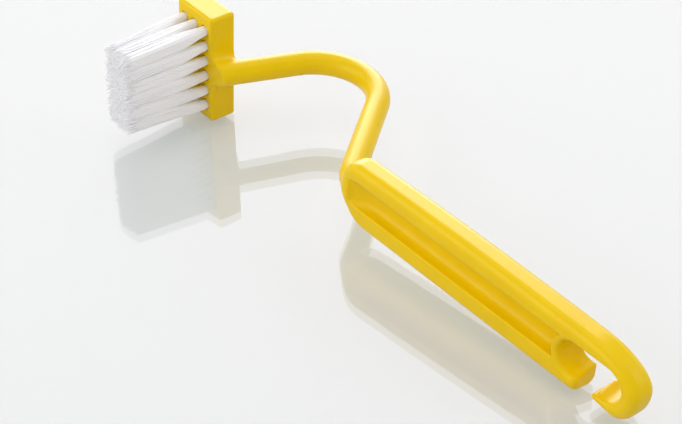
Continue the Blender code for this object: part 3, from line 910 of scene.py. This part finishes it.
def add_light(away, brush, lit, opaque):
    """Broad panels behind the brush and on both sides, a soft one in front that gives it no gloss,
    and a narrow one behind that gives it only gloss. The front one shines through the tufts, which
    stands in for the light that nylon lets through."""
    left = Vector((-away.y, away.x, 0.0))
    up = Vector((0.0, 0.0, 1.0))
    limits = {
        "panel_gloss": {"only": brush, "part": "gloss"},
        "panel_left": {"only": lit},
        "panel_right": {"only": lit},
        "panel_front": {"only": brush, "part": "colour", "opaque": opaque},
    }
    for name, (back, side, rise), distance, width, height, radiance in PANELS:
        middle = (away * back + left * side + up * rise) * distance
        add_panel(name, middle, width, height, radiance, **limits.get(name, {}))


def add_studio(away):
    """World that is bright overhead, dark half-way up and of a middle tone round the horizon."""
    world = bpy.data.worlds.new("studio")
    world.use_nodes = True
    tree = world.node_tree
    shade = tree.nodes["Background"]
    shade.inputs["Color"].default_value = (1.0, 1.0, 1.0, 1.0)
    at = node(tree, "ShaderNodeTexCoord", (-1200, 0))
    split = node(tree, "ShaderNodeSeparateXYZ", (-1000, -200))
    tree.links.new(at.outputs["Generated"], split.inputs["Vector"])
    across = node(tree, "ShaderNodeVectorMath", (-1000, 100), operation="DOT_PRODUCT")
    tree.links.new(at.outputs["Generated"], across.inputs[0])
    across.inputs[1].default_value = away

    def fade(value, place, limits, low, high):
        made = node(tree, "ShaderNodeMapRange", place, interpolation_type="SMOOTHSTEP")
        made.inputs["From Min"].default_value, made.inputs["From Max"].default_value = limits
        for name, level in (("To Min", low), ("To Max", high)):
            if isinstance(level, float):
                made.inputs[name].default_value = level
            else:
                tree.links.new(level, made.inputs[name])
        tree.links.new(value, made.inputs["Value"])
        return made.outputs["Result"]

    side = fade(across.outputs["Value"], (-800, 100), WORLD_SIDE_FADE, WORLD_NEAR, WORLD_AWAY)
    upper = fade(split.outputs["Z"], (-800, -200), WORLD_TOP_FADE, WORLD_MID, WORLD_TOP)
    strength = fade(split.outputs["Z"], (-500, 0), WORLD_RISE_FADE, side, upper)
    tree.links.new(strength, shade.inputs["Strength"])
    bpy.context.scene.world = world


def dress(place):
    """Makes the moulded body and the tufts, gives the anchors their material, and returns the body
    and the list of tufts."""
    plastic = yellow_plastic()
    nylon = white_nylon(place)
    steel = wire_steel()
    half_x, _, half_z = (size / 2 for size in HEAD_SIZE)
    low = (-half_x - MESH_MARGIN, NECK_LOW_Y - MESH_MARGIN, -half_z - MESH_MARGIN)
    high = (HANDLE.start + HANDLE_LENGTH + MESH_MARGIN, NECK_HIGH_Y + MESH_MARGIN,
            half_z + MESH_MARGIN)
    mesh = surface_mesh("brush_body", body_distance, low, high, place)
    mesh.materials.append(plastic)
    body = add_object("brush_body", mesh)
    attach(body, "root")
    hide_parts("moulded_body")
    tufts = []
    for number, (name, x, z) in enumerate(tuft_places()):
        tuft = tuft_object(f"filaments_{name}", number, x, z, place, nylon)
        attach(tuft, "root")
        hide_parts(f"tuft_{name}")
        tufts.append(tuft)
        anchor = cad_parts[f"anchor_{name}"]
        for slot in anchor.material_slots:
            slot.material = steel
    return body, tufts


NECK = Neck()
HANDLE = Handle(NECK.corner)
BEND_CENTRE_X = NECK.bend.x
NECK_HIGH_Y = NECK.bend.y + BEND_RADIUS + NECK_RADIUS
NECK_LOW_Y = HANDLE.middle_y - HANDLE_DEPTH / 2

to_world = brush_to_world()
forward = add_camera(to_world)
away_from_camera = Vector((forward.x, forward.y, 0.0)).normalized()
brush_body, brush_tufts = dress(to_world)
floor_plane("glass_top", 0.0, sheen("glass_face", GLASS_MIRROR))
floor_plane("glass_under", -GLASS_THICKNESS * MM, sheen("glass_back", BASE_MIRROR))
base = floor_plane("table_base", -(GLASS_THICKNESS + BASE_BELOW) * MM, pale("white_base"))
add_light(away_from_camera, collect("brush_pieces", [brush_body, *brush_tufts]),
          collect("lit_pieces", [brush_body, *brush_tufts, base]),
          collect("opaque_pieces", [brush_body]))
add_studio(away_from_camera)
bpy.context.scene.view_settings.view_transform = "Standard"
